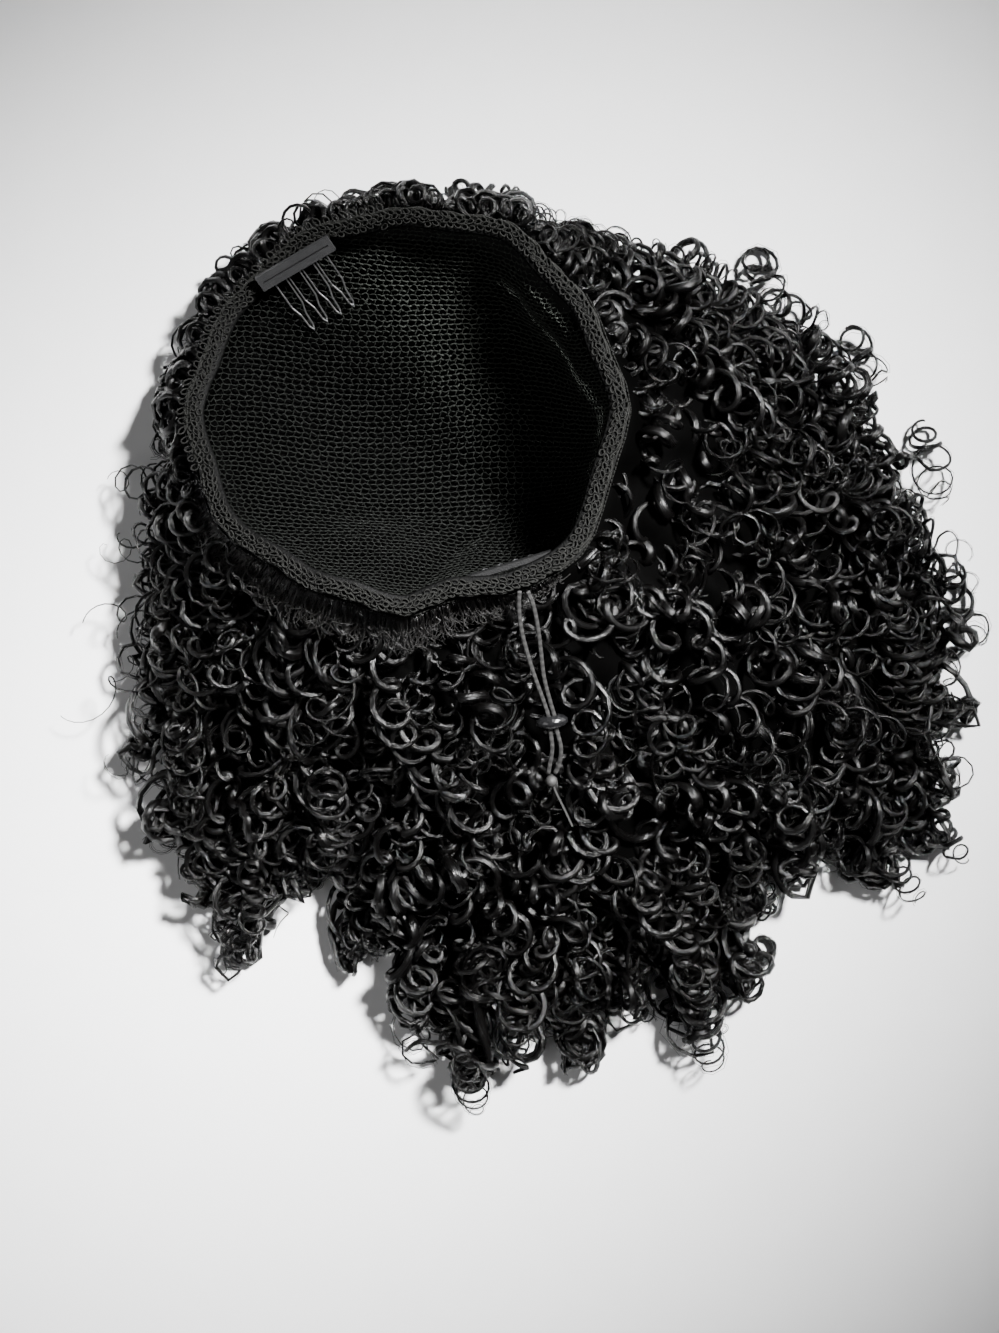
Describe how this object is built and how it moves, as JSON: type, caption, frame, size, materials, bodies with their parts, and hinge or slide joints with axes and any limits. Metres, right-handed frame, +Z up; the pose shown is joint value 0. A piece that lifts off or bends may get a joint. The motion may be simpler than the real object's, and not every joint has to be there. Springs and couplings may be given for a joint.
{
  "type": "drawstring ponytail hairpiece",
  "caption": "Curly drawstring ponytail hairpiece: a knitted net cap with a gathered hem, wire combs inside, and tightly coiled black hair fanned out round it.",
  "frame": {"origin": "on the surface that the hair rests on, under the middle of the cap's opening", "axes": "+Z up out of the cap's opening, -Y along the fall of the hair, +X to its fuller side"},
  "size_m": [0.3486, 0.3674, 0.0808],
  "materials": {
    "net": "fine black stretch net, matte",
    "hair": "natural black curled fibre, glossy",
    "weft": "machine-sewn weft edge",
    "comb_strip": "dark grey folded strip, matte",
    "comb_wire": "bare bright steel wire",
    "elastic": "braided black elastic",
    "bead": "moulded, glossy black"
  },
  "bodies": {
    "root": {"net_cap": "net", "rim_casing": "net", "weft_track": "weft", "curly_hair": "hair", "comb_upper_bar": "comb_strip", "comb_upper_wire": "comb_wire", "comb_lower_bar": "comb_strip", "comb_lower_wire": "comb_wire", "draw_cord_left": "elastic", "draw_cord_right": "elastic", "cord_bead": "bead", "cord_knot": "elastic"}
  },
  "joints": []
}
